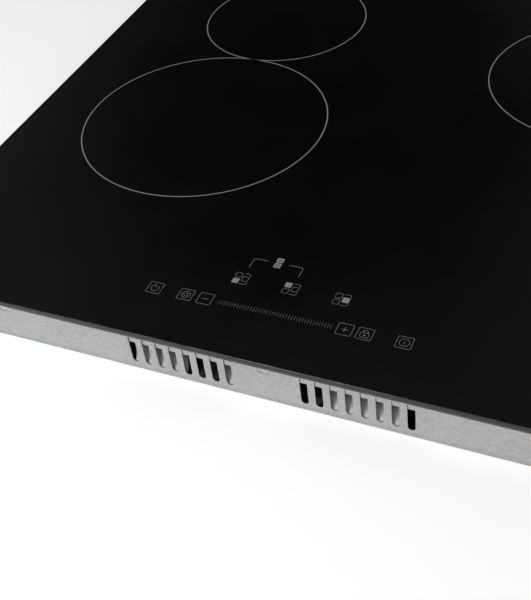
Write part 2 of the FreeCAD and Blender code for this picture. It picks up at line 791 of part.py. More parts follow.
def housing_profile(sketch, x, wall, front):
    """A square-cornered front half with a round back: the blower's outline, inset by a wall."""
    r = d.fan_width / 2 - wall
    centre = Vector(x.value, d.fan_y.value, 0)
    side = Vector(r.value, 0, 0)
    corner = Vector(0, (front - d.fan_y).value, 0)
    first = sketch.GeometryCount
    sketch.addGeometry([
        Part.ArcOfCircle(Part.Circle(centre, Vector(0, 0, 1), r.value), 0, math.pi),
        Part.LineSegment(centre - side, centre - side + corner),
        Part.LineSegment(centre - side + corner, centre + side + corner),
        Part.LineSegment(centre + side + corner, centre + side),
    ])
    for i in range(4):
        kind = "Tangent" if i in (0, 3) else "Coincident"
        sketch.addConstraint(Sketcher.Constraint(kind, first + i, 2, first + (i + 1) % 4, 1))
    sketch.addConstraint(Sketcher.Constraint("Vertical", first + 1))
    sketch.addConstraint(Sketcher.Constraint("Horizontal", first + 2))
    fix(sketch, "Radius", first, formula=r)
    fix(sketch, "DistanceX", -1, 1, first, 3, formula=x)
    fix(sketch, "DistanceY", -1, 1, first, 3, formula=d.fan_y)
    fix(sketch, "DistanceY", -1, 1, first + 2, 1, formula=front)


def make_fan_housing(name, side):
    """A blower case on the casing's floor: open below over the grille and in front to the heat sink."""
    body = new_body("fan_housing_" + name)
    x = side * d.sink_x
    front = d.fan_y - d.fan_width / 2
    shell = new_sketch(body, lift=d.steel)
    housing_profile(shell, x, sized(0), front)
    pad(body, shell, d.fan_height)
    room = new_sketch(body, lift=d.steel + d.fan_wall)
    housing_profile(room, x, d.fan_wall, front - 1)
    pocket(body, room, d.fan_height - 2 * d.fan_wall, reverse=True)
    inlet = new_sketch(body, lift=d.steel)
    circle(inlet, d.fan_inlet, x=x, y=d.fan_y)
    pocket(body, inlet, d.fan_wall, reverse=True)
    shaft = new_sketch(body, lift=d.rotor_low)
    circle(shaft, d.shaft_radius, x=x, y=d.fan_y)
    pad(body, shaft, d.fan_height + d.steel - d.fan_wall - d.rotor_low)


def make_fan_rotor(name, side):
    """A blower wheel: a hub on the shaft, a disc and a ring of blades."""
    body = new_body("fan_rotor_" + name)
    bore = d.shaft_radius + d.running_gap
    top = d.rotor_low + d.rotor_height
    inner = d.rotor_radius - d.blade_length
    turned(body, [(bore, d.rotor_low), (d.hub_radius, d.rotor_low), (d.hub_radius, top - d.rotor_disc),
                  (d.rotor_radius, top - d.rotor_disc), (d.rotor_radius, top), (bore, top)])
    rim = new_sketch(body, lift=d.rotor_low)
    circle(rim, d.rotor_radius)
    circle(rim, d.rotor_radius - rotor_rim)
    pad(body, rim, rotor_rim)
    blade = new_sketch(body, lift=d.rotor_low)
    outline(blade, [(inner, 0), (inner + blade_sheet, -0.6), (d.rotor_radius - 0.3, blade_lean),
                    (d.rotor_radius - 0.8, blade_lean + blade_sheet)])
    repeat_round(body, pad(body, blade, d.rotor_height - d.rotor_disc / 2), d.blade_count)
    bind(body, x=side * d.sink_x, y=d.fan_y)


rotor_rim = sized(1.5)
blade_sheet = sized(0.9)
blade_lean = sized(3.4)
for label, hand in SIDES:
    make_fan_housing(label, hand)
    make_fan_rotor(label, hand)


# ---- control panel ----

def make_holder():
    """A light tray for the control board, with curved air scoops behind the front slots."""
    body = new_body("control_board_holder")
    margin = 2 * d.holder_margin
    under = d.panel_low - d.holder_floor
    floor = new_sketch(body, lift=under)
    rectangle(floor, d.panel_width + margin, d.panel_depth + margin, y=d.panel_y)
    pad(body, floor, frame_top - d.steel - under)
    inside = new_sketch(body, lift=d.panel_low)
    rectangle(inside, d.panel_width + margin / 2, d.panel_depth + margin / 2, y=d.panel_y)
    pocket(body, inside, frame_top - d.panel_low, reverse=True)
    cable_hole = new_sketch(body, lift=d.panel_low)
    circle(cable_hole, 2 * d.harness_radius, y=d.harness_y)
    pocket(body, cable_hole, 2 * d.holder_floor)
    back = d.panel_y - d.panel_depth / 2 - d.holder_margin
    wall = d.scoop_sheet - d.casing_depth / 2
    face = [(wall + depth, height) for depth, height in SCOOP] + [(wall + 4, d.scoop_bend_z)]
    rear = [(y + d.scoop_sheet, height) for y, height in face]
    for left, right in SCOOPS:
        blade = new_sketch(body, "YZ", lift=left)
        head = [(back, under), (back, d.panel_low), (back + d.scoop_sheet, under)]
        outline(blade, face + head + rear[::-1])
        pad(body, blade, right - left)


def make_control_board():
    body = new_body("control_board")
    sketch = new_sketch(body, lift=d.panel_low)
    rectangle(sketch, d.panel_width, d.panel_depth, y=d.panel_y)
    pad(body, sketch, d.board_thickness)


def make_touch_springs():
    """One contact spring under each touch key, between the board and the glass."""
    top = d.panel_low + d.board_thickness
    spots = [(x, d.key_y) for x in KEY_X] + [(x, d.icon_y) for x in ICON_X]
    group("touch_springs", [
        coil_spring(f"touch_spring_{k}", d.touch_radius, d.touch_wire, glass_low - top, x, y, top)
        for k, (x, y) in enumerate(spots)])


def make_lamps():
    """White light boxes between the zone keys for their level digits."""
    top = d.panel_low + d.board_thickness
    group("display_lamps", [block(f"lamp_{k}", d.lamp_width, d.lamp_depth, glass_low - top - 0.4, x,
                                  d.icon_y + d.lamp_offset, top) for k, x in enumerate(ICON_X)])


# each scoop's face, as depths behind the front wall and heights: it curves forward at its foot
SCOOP = ((0.2, 5.6), (0.8, 6.8), (1.8, 8.8), (2.8, 11.6), (3.5, 15), (3.9, 19), (4, 23))
SCOOPS = [(sized(left), sized(right)) for left, right in ((-101, -60.5), (-34, -22), (42, 93.5))]
KEY_X = (-87.9, -64.5, -50, 48.5, 62, 87.9)
ICON_X = (-35.3, 1, 36.9)
make_holder()
make_control_board()
make_touch_springs()
make_lamps()
node(wire_run("control_harness", [
    (0, d.harness_y, d.panel_low), (0, d.harness_y, 37.5), (5, -156, 31), (17, -150, 27.5), (31, -143, 27),
    (43, -137, 25), (51, -134, 17.5), (51, -134, board_top)], d.harness_radius), "control_harness")


# ---- mains inlet ----

def make_bush():
    """A flanged plastic bush in the rear wall; the mains cable would pass through it."""
    body = new_body("cable_inlet_bush")
    body.Placement.Rotation = FreeCAD.Rotation(Vector(1, 0, 0), -90)
    neck = d.bush_length - d.bush_flange
    turned(body, [(d.inlet_bore, 0), (d.bush_radius - 0.1, 0), (d.bush_radius - 0.1, neck),
                  (d.bush_radius + 2, neck), (d.bush_radius + 2, d.bush_length),
                  (d.inlet_bore, d.bush_length)])
    bind(body, x=d.inlet_x, y=d.casing_depth / 2 - neck, z=d.inlet_height)


def make_terminals():
    """A five-way terminal block and the hood over it."""
    body = new_body("terminal_block")
    sketch = new_sketch(body, lift=d.steel)
    rectangle(sketch, d.terminal_width, d.terminal_depth, x=d.inlet_x, y=d.terminal_y)
    pad(body, sketch, d.terminal_height)
    wells = new_sketch(body, lift=d.steel + d.terminal_height)
    for k in range(5):
        circle(wells, d.terminal_well, x=d.inlet_x + (k - 2) * d.terminal_pitch, y=d.terminal_y)
    pocket(body, wells, 0.4 * d.terminal_height)
    clearance = sized(1)
    hood_wall = sized(2)
    grown = clearance + 2 * hood_wall
    hood = block("terminal_hood", d.terminal_width + grown, d.terminal_depth + grown, d.hood_height,
                 d.inlet_x, d.terminal_y, d.hood_low)
    room = block("terminal_room", d.terminal_width + clearance, d.terminal_depth + clearance,
                 d.hood_height - hood_wall + 0.4, d.inlet_x, d.terminal_y, d.hood_low)
    node(combine("Cut", "terminal_cover", [hood, room]), "terminal_cover")


def make_supply_wires():
    """Three wires from the terminal block to the right power board."""
    front = d.terminal_y - d.terminal_depth / 2
    wires = []
    for k in (-1, 0, 1):
        x = d.inlet_x + k * d.terminal_pitch
        wires.append(wire_run(f"supply_wire_{k + 1}", [
            (x, front, 10), (x, front - 14, 10), (x - 2, front - 32, 16), (x - 4, front - 52, 25),
            (x - 6, front - 70, 28), (x - 7, front - 84, 24), (x - 8, front - 89, 16),
            (x - 8, front - 89, board_top)], d.supply_wire))
    group("supply_wires", wires)


make_bush()
make_terminals()
make_supply_wires()
rear_wall = d.casing_depth / 2
node(block("rating_plate", d.label_width, d.label_thickness, d.label_height, d.label_x,
           rear_wall + d.label_thickness / 2, d.label_low), "rating_plate")


# ---- worktop clips ----

def make_clip_base(y, side):
    """The flat back of a clip on the casing's side wall, with a lip over the leaf's fold."""
    wall = side * d.casing_width / 2
    plate = block("clip_plate", d.clip_sheet, d.clip_base_width, d.clip_top - clip_low,
                  wall + side * d.clip_sheet / 2, y, clip_low)
    lip = block("clip_lip", clip_lip, d.clip_width, d.clip_sheet, wall + side * clip_lip / 2, y, d.clip_top)
    bores = [rod("clip_bore", d.screw_radius, 4 * d.clip_sheet, wall - side * d.clip_sheet,
                 y + offset * clip_screw_offset, d.screw_height, ACROSS[side]) for offset in (-1, 1)]
    folded = combine("MultiFuse", "clip_folded", [plate, lip])
    return combine("Cut", "clip_base", [folded, combine("Compound", "clip_bores", bores)])


def make_clip_leaf(name, y, side):
    """A bent leaf that flares out from its fold and turns back in at its tip."""
    body = new_body("clip_leaf_" + name)
    wall = side * d.casing_width / 2
    knee = d.clip_reach
    sketch = new_sketch(body, "XZ", lift=-(y + d.clip_width / 2))
    inner = [(leaf_fold, leaf_top), (knee - d.clip_sheet, leaf_knee), (knee - 2.3, leaf_tip)]
    outer = [(across + d.clip_sheet, height) for across, height in reversed(inner)]
    outline(sketch, [(wall + side * across, height) for across, height in inner + outer])
    pad(body, sketch, d.clip_width)


ACROSS = {1: (Vector(0, 1, 0), 90), -1: (Vector(0, 1, 0), -90)}
FORWARDS = (Vector(1, 0, 0), 90)
BACKWARDS = (Vector(1, 0, 0), -90)
clip_low = sized(26)
clip_lip = sized(2.6)
leaf_fold = sized(1.6)
leaf_top = d.clip_top - 0.5
leaf_knee = leaf_top - 14.5
leaf_tip = leaf_knee - 5.5
clip_bases, wall_screws = [], []
for label, hand in SIDES:
    for end, end_sign in (("front", -1), ("rear", 1)):
        clip_bases.append(make_clip_base(end_sign * d.clip_y, hand))
        make_clip_leaf(f"{end}_{label}", end_sign * d.clip_y, hand)
    seat_x = hand * (d.casing_width / 2 + d.clip_sheet)
    for screw_y in SIDE_SCREWS:
        wall_screws.append(screw("wall_screw", seat_x, screw_y, d.screw_height, ACROSS[hand], (hand, 0, 0)))
for screw_x in REAR_SCREWS:
    wall_screws.append(screw("wall_screw", screw_x, rear_wall, d.screw_height, BACKWARDS, (0, 1, 0)))
front_seat = d.seat_depth - d.casing_depth / 2
for screw_x in FRONT_SCREWS:
    wall_screws.append(domed_screw("front_screw", screw_x, front_seat, d.front_screw_height))
group("clip_bases", clip_bases)
group("casing_screws", wall_screws)
group("inner_screws", inner_screws)


# ---- checks and files ----

doc.recompute()
faults = [item.Name for item in doc.Objects if {"Invalid", "Error"} & set(item.State)]
faults += [item.Label for item in nodes if item.Shape.isNull() or not item.Shape.isValid()]
if faults or len({item.Label for item in nodes}) != len(nodes):
    raise RuntimeError("failed objects: " + ", ".join(faults))
os.makedirs("parts", exist_ok=True)
for item in nodes:
    item.Shape.exportStep(f"parts/{item.Label}.step")
print(len(nodes), "sub-parts written")
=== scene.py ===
import json
import math
import random

import bpy
from mathutils import Matrix, Vector


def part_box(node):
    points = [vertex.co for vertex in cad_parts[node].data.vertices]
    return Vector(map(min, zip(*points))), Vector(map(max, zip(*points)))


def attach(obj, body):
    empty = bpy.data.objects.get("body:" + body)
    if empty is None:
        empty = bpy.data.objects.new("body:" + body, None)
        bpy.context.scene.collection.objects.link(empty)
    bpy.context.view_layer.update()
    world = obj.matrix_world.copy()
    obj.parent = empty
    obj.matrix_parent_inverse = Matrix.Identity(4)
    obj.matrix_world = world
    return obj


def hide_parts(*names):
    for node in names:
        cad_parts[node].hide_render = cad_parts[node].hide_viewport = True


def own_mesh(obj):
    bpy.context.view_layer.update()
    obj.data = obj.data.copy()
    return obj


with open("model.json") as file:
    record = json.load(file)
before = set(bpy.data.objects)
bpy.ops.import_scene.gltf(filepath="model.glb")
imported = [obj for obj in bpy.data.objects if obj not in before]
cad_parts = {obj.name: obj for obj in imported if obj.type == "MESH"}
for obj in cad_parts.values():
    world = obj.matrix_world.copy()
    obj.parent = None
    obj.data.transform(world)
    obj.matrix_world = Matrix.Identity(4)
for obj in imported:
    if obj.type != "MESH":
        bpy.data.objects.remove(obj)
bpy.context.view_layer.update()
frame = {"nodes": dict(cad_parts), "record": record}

MM = 0.001
ZONES = ("front_left", "rear_left", "right")
SIDES = ("left", "right")
NOISE_BAND = (0.3, 0.7)  # where most values of a noise texture lie


# ---- materials ----

class Finish:
    """A new material with a Principled shader, and short ways to add nodes to it."""

    def __init__(self, name, **sockets):
        self.material = bpy.data.materials.new(name)
        self.material.use_nodes = True
        self.tree = self.material.node_tree
        self.shader = self.tree.nodes["Principled BSDF"]
        self.place = self.add("TexCoord").outputs["Object"]
        for socket, value in sockets.items():
            self.shader.inputs[socket.replace("_", " ")].default_value = value

    def add(self, kind, **inputs):
        """A new node; each input is a constant or another node's output."""
        node = self.tree.nodes.new("ShaderNode" + kind)
        for name, value in inputs.items():
            self.feed(node.inputs[name.replace("_", " ")], value)
        return node

    def feed(self, socket, value):
        """Link a socket to a node's output, or set its constant."""
        if isinstance(value, bpy.types.NodeSocket):
            self.tree.links.new(value, socket)
        else:
            socket.default_value = value

    def set(self, **sockets):
        for name, value in sockets.items():
            self.feed(self.shader.inputs[name.replace("_", " ")], value)

    def math(self, operation, a, b):
        node = self.tree.nodes.new("ShaderNodeMath")
        node.operation = operation
        self.feed(node.inputs[0], a)
        self.feed(node.inputs[1], b)
        return node.outputs[0]

    def noise(self, scale, detail=3.0, stretch=None):
        """Soft noise from 0 to 1 over the object, stretched along its axes when given."""
        place = self.place
        if stretch:
            place = self.add("Mapping", Vector=place, Scale=stretch).outputs[0]
        return self.add("TexNoise", Vector=place, Scale=scale, Detail=detail).outputs["Fac"]

    def height(self):
        """Height over the casing's underside, in metres."""
        return self.add("SeparateXYZ", Vector=self.place).outputs["Z"]

    def cells(self, scale):
        """Random values from 0 to 1, one for each cell of a crystal pattern."""
        node = self.add("TexVoronoi", Vector=self.place, Scale=scale)
        return self.add("SeparateColor", Color=node.outputs["Color"]).outputs[0]

    def ramp(self, value, low, high, dark, light):
        """Grey or colour that goes from dark to light as value goes from low to high."""
        node = self.add("ValToRGB", Fac=value)
        for stop, place, tone in zip(node.color_ramp.elements, (low, high), (dark, light)):
            stop.position = place
            stop.color = tone if isinstance(tone, tuple) else (tone, tone, tone, 1)
        return node.outputs[0]

    def bump(self, height, distance, strength):
        node = self.add("Bump", Height=height, Distance=distance, Strength=strength)
        self.set(Normal=node.outputs[0])


def shade(colour, factor):
    """A colour made darker or lighter, with its alpha."""
    return tuple(min(1.0, part * factor) for part in colour) + (1,)


def plain_finish(name, colour, roughness, metallic=0.0, mottle=0.08, scale=60, grain=900, depth=0.02):
    """Moulded plastic, rubber or cast metal: slight mottling, uneven gloss and a fine surface grain."""
    finish = Finish(name, Metallic=metallic)
    patches, uneven = finish.noise(scale), 0.12
    dark, light = shade(colour, 1 - mottle), shade(colour, 1 + mottle)
    glossy, dull = roughness * (1 - uneven), roughness * (1 + uneven)
    finish.set(Base_Color=finish.ramp(patches, *NOISE_BAND, dark, light),
               Roughness=finish.ramp(finish.noise(scale / 3), *NOISE_BAND, glossy, dull))
    finish.bump(finish.noise(grain, 2), depth * MM, 0.6)
    return finish.material


def rolled_finish(name, colour, roughness, stretch, metallic=1.0):
    """Rolled or drawn metal with fine lines along one direction."""
    finish = Finish(name, Metallic=metallic)
    lines = finish.noise(220, 4, stretch)
    dark, light = shade(colour, 0.86), shade(colour, 1.08)
    finish.set(Base_Color=finish.ramp(lines, *NOISE_BAND, dark, light),
               Roughness=finish.ramp(lines, 0.25, 0.75, roughness * 0.8, roughness * 1.25))
    finish.bump(lines, 0.01 * MM, 0.5)
    return finish.material


def galvanised_finish():
    """Zinc-coated sheet: fine crystals, faint cloudy patches and a satin sheen, with painted shade darkening
    its lowest 6 mm.
    """
    finish = Finish("galvanised_steel", Metallic=1.0)
    crystals = finish.cells(700)
    grain = finish.noise(900, 2)
    clouds = finish.noise(60, 4)
    soft = finish.math("ADD", finish.math("MULTIPLY", clouds, 0.3), finish.math("MULTIPLY", grain, 0.4))
    tone = finish.math("ADD", finish.math("MULTIPLY", crystals, 0.3), soft)
    # Painted shade: the zinc's colour is multiplied down to 0.78 at the casing's underside, rising to full
    # over its lowest 6 mm.
    foot, painted_shade_tone = 6 * MM, 0.78
    painted_foot_shade = finish.ramp(finish.math("DIVIDE", finish.height(), foot), 0, 1, painted_shade_tone, 1.0)
    zinc = finish.ramp(tone, 0.2, 0.8, (0.36, 0.365, 0.37, 1), (0.54, 0.545, 0.55, 1))
    zinc_with_painted_shade = finish.add("MixRGB", Fac=1.0, Color1=zinc, Color2=painted_foot_shade)
    zinc_with_painted_shade.blend_type = "MULTIPLY"
    finish.set(Base_Color=zinc_with_painted_shade.outputs[0], Roughness=finish.ramp(clouds, 0.2, 0.8, 0.36, 0.46))
    finish.bump(grain, 0.006 * MM, 0.4)
    return finish.material


def glass_finish():
    """The top of black glass-ceramic: deep and glossy with a faint haze."""
    finish = Finish("black_glass", IOR=1.52, Specular_IOR_Level=0.5)
    haze = finish.noise(14, 5)
    deep, hazy = (0.0016, 0.0016, 0.0018, 1), (0.003, 0.003, 0.0033, 1)
    finish.set(Base_Color=finish.ramp(haze, 0.3, 0.75, deep, hazy),
               Roughness=finish.ramp(finish.noise(6, 6), *NOISE_BAND, 0.07, 0.12))
    return finish.material


def ground_glass_finish():
    """The glass's rim: dark and half polished above, with a painted reflection as a grey band along its
    lowest 3 mm with a ragged top, and grinding lines.
    """
    finish = Finish("ground_glass_rim", IOR=1.52, Specular_IOR_Level=0.5)
    lines = finish.noise(500, 3, (0.05, 0.05, 1))
    foot, painted_band_height, ragged = 52.5 * MM, 3 * MM, 0.5 * MM
    rim_level = finish.math("ADD", finish.height(), finish.math("MULTIPLY", lines, ragged))
    up_the_painted_band = finish.math("DIVIDE", finish.math("SUBTRACT", rim_level, foot), painted_band_height)
    # Painted reflection: grey at the rim's foot, fading to the dark glass 3 mm higher up.
    grey, dark = (0.06, 0.062, 0.061, 1), (0.003, 0.0033, 0.0032, 1)
    finish.set(Base_Color=finish.ramp(up_the_painted_band, 0.1, 1.0, grey, dark),
               Roughness=finish.ramp(finish.noise(90), *NOISE_BAND, 0.16, 0.26))
    finish.bump(lines, 0.008 * MM, 0.3)
    return finish.material


def print_finish():
    """Grey enamel print with the slight unevenness of screen printing."""
    finish = Finish("screen_print", IOR=1.5)
    dots = finish.noise(2500, 2)
    thin, full = (0.156, 0.156, 0.158, 1), (0.212, 0.212, 0.215, 1)
    finish.set(Base_Color=finish.ramp(dots, *NOISE_BAND, thin, full),
               Roughness=finish.ramp(finish.noise(200), *NOISE_BAND, 0.38, 0.5))
    return finish.material


def board_finish():
    """Circuit board: green resist over fine copper tracks, with tinned pads."""
    finish = Finish("circuit_board", Specular_IOR_Level=0.5)
    tracks = finish.add("TexBrick", Vector=finish.place, Scale=180, Mortar_Size=0.012, Brick_Width=0.9,
                        Row_Height=0.22, Color1=(0.013, 0.11, 0.05, 1), Color2=(0.016, 0.13, 0.057, 1),
                        Mortar=(0.007, 0.07, 0.03, 1)).outputs["Color"]
    dots = finish.add("TexVoronoi", Vector=finish.place, Scale=230).outputs["Distance"]
    pads = finish.ramp(dots, 0.16, 0.2, 1.0, 0.0)
    tinned = finish.add("MixRGB", Fac=pads, Color1=tracks, Color2=(0.55, 0.56, 0.55, 1)).outputs[0]
    finish.set(Base_Color=tinned, Metallic=finish.math("MULTIPLY", pads, 0.9),
               Roughness=finish.ramp(pads, 0, 1, 0.3, 0.22))
    finish.bump(pads, 0.05 * MM, 0.6)
    return finish.material


def scoop_finish():
    """The control board's holder: grey moulding with painted light, paler towards the feet of its scoops."""
    finish = Finish("grey_plastic", Roughness=0.45)
    head, foot, uneven = 22 * MM, 9 * MM, 3 * MM
    level = finish.math("ADD", finish.height(), finish.math("MULTIPLY", finish.noise(80), uneven))
    painted_light_rise = finish.math("DIVIDE", finish.math("SUBTRACT", head, level), head - foot)
    # Painted light and shade: dark grey from 22 mm up, pale grey (thin) from 9 mm down, standing in for light
    # reaching the scoops' feet.
    shaded_tone, thin = (0.075, 0.076, 0.078, 1), (0.42, 0.425, 0.43, 1)
    finish.set(Base_Color=finish.ramp(painted_light_rise, 0, 1, shaded_tone, thin))
    finish.bump(finish.noise(900, 2), 0.02 * MM, 0.6)
    return finish.material


FINISHES = {
    "black_glass": glass_finish(),
    "ground_glass": ground_glass_finish(),
    "screen_print": print_finish(),
    "galvanised_steel": galvanised_finish(),
    "circuit_board": board_finish(),
    "foam": plain_finish("foam", (0.018, 0.018, 0.019), 0.9, grain=500, depth=0.15),
    "silicone": plain_finish("silicone", (0.03, 0.03, 0.031), 0.45),
    "spring_steel": rolled_finish("spring_steel", (0.42, 0.42, 0.43), 0.32, (0.1, 1, 1)),
    "zinc_screw": plain_finish("zinc_screw", (0.54, 0.54, 0.53), 0.3, 1.0, 0.1, 300),
    "aluminium_sheet": rolled_finish("aluminium_sheet", (0.78, 0.79, 0.8), 0.34, (0.06, 1, 1)),
    "aluminium_extrusion": rolled_finish("aluminium_extrusion", (0.7, 0.71, 0.72), 0.4, (1, 0.05, 1)),
    "copper": plain_finish("copper_litz", (0.62, 0.24, 0.1), 0.32, 0.9, 0.2, 400, 1500, 0.06),
    "former_plastic": plain_finish("former_plastic", (0.07, 0.07, 0.075), 0.55),
    "ferrite": plain_finish("ferrite", (0.06, 0.06, 0.065), 0.5, 0.2, 0.2, 200, 1200, 0.04),
    "mica": plain_finish("mica", (0.62, 0.56, 0.44), 0.5, 0.0, 0.15, 150, 700, 0.05),
    "sensor_ceramic": plain_finish("sensor_ceramic", (0.8, 0.8, 0.76), 0.35),
    "grey_plastic": scoop_finish(),
    "black_plastic": plain_finish("black_plastic", (0.022, 0.022, 0.024), 0.42),
    "component_black": plain_finish("component_black", (0.02, 0.02, 0.021), 0.5),
    "capacitor_plastic": plain_finish("capacitor_plastic", (0.5, 0.48, 0.36), 0.4),
    "choke_winding": plain_finish("choke_winding", (0.55, 0.2, 0.06), 0.25, 0.9, 0.15, 400),
    "lamp_white": plain_finish("lamp_white", (0.8, 0.8, 0.78), 0.5),
    "wire_insulation": plain_finish("wire_insulation", (0.45, 0.12, 0.06), 0.5),
    "harness_sleeve": plain_finish("harness_sleeve", (0.3, 0.3, 0.31), 0.6, grain=700, depth=0.1),
    "terminal_plastic": plain_finish("terminal_plastic", (0.66, 0.66, 0.62), 0.45),
    "label_foil": rolled_finish("label_foil", (0.75, 0.75, 0.75), 0.38, (0.02, 1, 1)),
}


def dress_cad_nodes():
    """Each CAD node that stays visible gets the finish of its own material slot."""
    for row in frame["record"]["subparts"]:
        mesh = frame["nodes"][row["node"]].data
        mesh.materials.clear()
        mesh.materials.append(FINISHES[row["material_slot"]])


# ---- mesh helpers ----

def new_piece(name, vertices, faces, slot, body="root", smooth=False):
    """A mesh in the row frame that rides on a body, in the finish of a material slot."""
    mesh = bpy.data.meshes.new(name)
    mesh.from_pydata([tuple(v) for v in vertices], [], faces)
    mesh.validate()
    mesh.materials.append(FINISHES[slot])
    piece = bpy.data.objects.new(name, mesh)
    bpy.context.scene.collection.objects.link(piece)
    if smooth:
        mesh.polygons.foreach_set("use_smooth", [True] * len(mesh.polygons))
    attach(piece, body)
    return piece


class Stock:
    """Vertices and faces of one piece, gathered from several closed shapes."""

    def __init__(self):
        self.vertices, self.faces = [], []

    def add(self, vertices, faces):
        first = len(self.vertices)
        self.vertices += vertices
        self.faces += [tuple(first + i for i in face) for face in faces]

    def rings(self, rings, loop=False):
        """Skin a list of equal rings of points, with caps or joined end to end."""
        n, count = len(rings[0]), len(rings)
        faces = []
        for k in range(count if loop else count - 1):
            a, b = k * n, (k + 1) % count * n
            faces += [(a + i, a + (i + 1) % n, b + (i + 1) % n, b + i) for i in range(n)]
        if not loop:
            faces += [tuple(reversed(range(n))), tuple((count - 1) * n + i for i in range(n))]
        self.add([point for ring in rings for point in ring], faces)

    def tube(self, path, radius, sides, loop=False):
        """A round tube along a path of points, without a twist."""
        rings, count = [], len(path)
        side = None
        for k, point in enumerate(path):
            before = path[(k - 1) % count] if loop or k else path[0]
            after = path[(k + 1) % count] if loop or k < count - 1 else path[-1]
            along = (after - before).normalized()
            if side is None:
                side = along.orthogonal().normalized()
            side = (side - along * side.dot(along)).normalized()
            other = along.cross(side)
            rings.append([point + radius * (math.cos(a) * side + math.sin(a) * other)
                          for a in (2 * math.pi * i / sides for i in range(sides))])
        self.rings(rings, loop=loop)

    def piece(self, name, slot, body="root", smooth=False):
        return new_piece(name, self.vertices, self.faces, slot, body, smooth)


# ---- glass top ----

glass_low, glass_high = (Vector(corner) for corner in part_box("glass_plate"))
PRINT_RISE = 0.03 * MM
GLASS_TOP = glass_high.z - PRINT_RISE
FRONT = glass_low.y


def rounded_outline(inset, radius, steps=10):
    """The glass's outline, pulled in by inset, with round corners."""
    points = []
    half_x, half_y = glass_high.x - inset, glass_high.y - inset
    r = radius - inset
    for quarter, (sx, sy) in enumerate(((1, 1), (-1, 1), (-1, -1), (1, -1))):
        for k in range(steps + 1):
            angle = math.pi / 2 * (quarter + k / steps)
            points.append((sx * (half_x - r) + r * math.cos(angle), sy * (half_y - r) + r * math.sin(angle)))
    return points


def make_glass():
    """The glass plate with a ground rim: a fine arris above and a small rounding below."""
    corner, arris, rounding = 5 * MM, 0.35 * MM, 1.0 * MM
    steps = 6
    bends = [math.pi / 2 * k / steps for k in range(steps + 1)]
    profile = [(rounding * (1 - math.sin(a)), glass_low.z + rounding * (1 - math.cos(a))) for a in bends]
    ease, flat = 0.08 * arris, 1.2 * arris
    profile += [(ease, GLASS_TOP - arris), (arris, GLASS_TOP - ease), (flat, GLASS_TOP)]
    stock = Stock()
    stock.rings([[(x, y, z) for x, y in rounded_outline(inset, corner)] for inset, z in profile])
    piece = stock.piece("glass_top", "black_glass")
    piece.data.materials.append(FINISHES["ground_glass"])
    level = 0.97
    for face in piece.data.polygons:
        face.material_index = int(abs(face.normal.z) < level)
    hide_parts("glass_plate")


# ---- screen print ----

class Print(Stock):
    """Flat printed shapes, as thin closed plates on the glass. Sizes in millimetres from the middle
    of the glass's front edge, Y towards the back."""

    def plate(self, outer, inner=None):
        """A filled outline or, with an inner outline of as many points, the band between them."""
        def level(points, z):
            return [Vector((x * MM, FRONT + y * MM, z)) for x, y in points]
        top, low = glass_high.z, GLASS_TOP - PRINT_RISE
        if inner is None:
            self.rings([level(outer, low), level(outer, top)])
        else:
            band = [level(outer, low), level(outer, top), level(inner, top), level(inner, low)]
            self.rings(band, loop=True)

    def square(self, x, y, width, depth, corner, line=None):
        """A round-cornered rectangle from its lowest corner: a line frame, or filled."""
        smallest, steps = 0.05, 4

        def outline(inset):
            r = max(corner - inset, smallest)
            left, right, low, high = x + inset, x + width - inset, y + inset, y + depth - inset
            centres = ((right - r, high - r), (left + r, high - r), (left + r, low + r), (right - r, low + r))
            points = []
            for quarter, (cx, cy) in enumerate(centres):
                angles = [math.pi / 2 * (quarter + k / steps) for k in range(steps + 1)]
                points += [(cx + r * math.cos(a), cy + r * math.sin(a)) for a in angles]
            return points

        self.plate(outline(0), outline(line) if line else None)

    def ring(self, x, y, radius, line, steps=40):
        """A circle of even width."""
        angles = [2 * math.pi * k / steps for k in range(steps)]

        def circle(r):
            return [(x + r * math.cos(a), y + r * math.sin(a)) for a in angles]

        self.plate(circle(radius + line / 2), circle(radius - line / 2))

    def stroke(self, points, line):
        """A line of even width through points, mitred at its bends."""
        left, right = [], []
        last, sharpest = len(points) - 1, 0.3
        for k, point in enumerate(points):
            here = Vector(point)
            back = (here - Vector(points[k - 1])).normalized() if k else None
            ahead = (Vector(points[k + 1]) - here).normalized() if k < last else back
            back = back or ahead
            along = (back + ahead).normalized()
            across = Vector((-along.y, along.x))
            reach = line / 2 / max(sharpest, across.dot(Vector((-ahead.y, ahead.x))))
            left.append(tuple(here + across * reach))
            right.append(tuple(here - across * reach))
        self.plate(right + left[::-1])

    def arc(self, x, y, radius, start, end, line, steps=24):
        """A part of a circle between two angles in degrees."""
        angles = [math.radians(start + (end - start) * k / steps) for k in range(steps + 1)]
        self.stroke([(x + radius * math.cos(a), y + radius * math.sin(a)) for a in angles], line)


# The print's line widths and the touch keys' size and place, in millimetres.
LINE = 0.23
TICK = 0.15
KEY, KEY_Y, KEY_CORNER = 10.4, 39.1, 0.9
KEY_MIDDLE = KEY_Y + KEY / 2
BAR = 2.5  # half the length of the plus and minus signs' bars


def key_frame(drawing, middle):
    """The square outline of a touch key."""
    drawing.square(middle - KEY / 2, KEY_Y, KEY, KEY, KEY_CORNER, LINE)


def draw_timer(drawing, x):
    """A dial that is open at its upper right, with one hand."""
    radius, start, end = 2.9, 85, 405
    drawing.arc(x, KEY_MIDDLE, radius, start, end, LINE)
    hand = ((0.2, 0.4), (-0.1, 2.7))
    drawing.stroke([(x + along, KEY_MIDDLE + up) for along, up in hand], LINE)


def draw_boost(drawing, x):
    """Two rings, one in the other."""
    for radius in (3.1, 1.5):
        drawing.ring(x, KEY_MIDDLE, radius, LINE)


def draw_minus(drawing, x):
    """A level bar."""
    drawing.stroke([(x - BAR, KEY_MIDDLE), (x + BAR, KEY_MIDDLE)], LINE)


def draw_plus(drawing, x):
    """A level bar with an upright one above and below it."""
    draw_minus(drawing, x)
    for end in (-1, 1):
        drawing.stroke([(x, KEY_MIDDLE + end * LINE / 2), (x, KEY_MIDDLE + end * BAR)], LINE)


